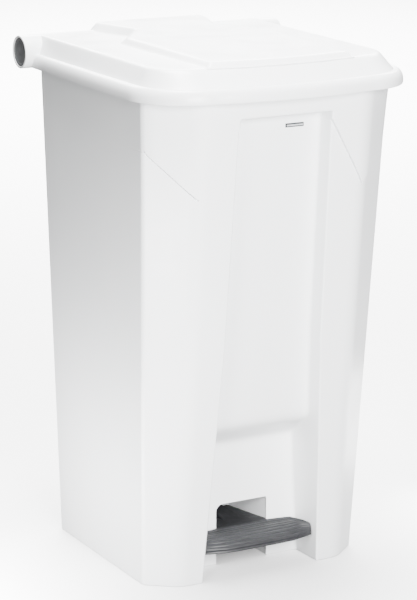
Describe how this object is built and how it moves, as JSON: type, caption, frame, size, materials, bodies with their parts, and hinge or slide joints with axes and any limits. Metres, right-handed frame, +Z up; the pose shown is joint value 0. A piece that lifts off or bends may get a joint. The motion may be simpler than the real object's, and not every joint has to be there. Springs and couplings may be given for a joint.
{
  "type": "pedal bin",
  "caption": "Tall tapered plastic pedal bin with a recessed front, a hinged lid on a rear axle and a foot pedal that lifts the lid through a lever and a rod.",
  "frame": {"origin": "on the floor, under the middle of the bin's overall box", "axes": "+Z up, the pedal and front towards -Y, the lid hinge towards +Y, +X to the right of someone who stands in front of the bin and faces it"},
  "size_m": [0.458, 0.4971, 0.8161],
  "materials": {
    "white_plastic": "white, smooth, half gloss",
    "dark_grey_plastic": "dark grey, fine matt",
    "grey_plastic": "mid grey, matt",
    "black_plastic": "black, matt",
    "rubber": "black, soft",
    "steel": "zinc-plated steel, satin"
  },
  "bodies": {
    "frame": {"body": "white_plastic", "rear_cover": "white_plastic", "rod_guide_lower": "grey_plastic", "rod_guide_upper": "grey_plastic", "hinge_bracket_left": "grey_plastic", "hinge_bracket_right": "grey_plastic", "hinge_bush_left": "black_plastic", "hinge_bush_right": "black_plastic", "pedal_axle": "steel", "axle_cap_left": "black_plastic", "axle_cap_right": "black_plastic", "badge": "dark_grey_plastic", "rear_cover_screw_1": "steel", "rear_cover_screw_2": "steel", "rear_cover_screw_3": "steel", "rear_cover_screw_4": "steel", "rear_cover_screw_5": "steel", "rear_cover_screw_6": "steel", "hinge_bracket_screw_1": "steel", "hinge_bracket_screw_2": "steel", "hinge_bracket_screw_3": "steel", "hinge_bracket_screw_4": "steel"},
    "lid": {"lid": "white_plastic", "hinge_axle": "steel", "end_plug_left": "dark_grey_plastic", "end_plug_right": "dark_grey_plastic", "lid_bumper_left": "rubber", "lid_bumper_right": "rubber", "lid_crank": "steel", "crank_pin": "steel", "crank_screw_left": "steel", "crank_screw_right": "steel"},
    "rod": {"push_rod": "steel", "rod_foot": "black_plastic"},
    "pedal": {"pedal": "dark_grey_plastic", "pedal_lever": "steel", "lever_screw_1": "steel", "lever_screw_2": "steel"}
  },
  "joints": [
    {"name": "lid_hinge", "type": "hinge", "parent": "frame", "child": "lid", "pos_m": [0, 0.223, 0.7782], "axis": [-1, 0, 0], "range_deg": [0, 75]},
    {"name": "pedal_pivot", "type": "hinge", "parent": "frame", "child": "pedal", "pos_m": [0, 0.05, 0.046], "axis": [1, 0, 0], "range_deg": [0, 9.8]},
    {"name": "rod_slide", "type": "slide", "parent": "frame", "child": "rod", "axis": [0, 0, 1], "range_m": [0, 0.0268]}
  ],
  "couplings": [
    {"joint": "pedal_pivot", "follows": "lid_hinge", "ratio": 0.13066},
    {"joint": "rod_slide", "follows": "lid_hinge", "m_per_rad": 0.020459}
  ]
}
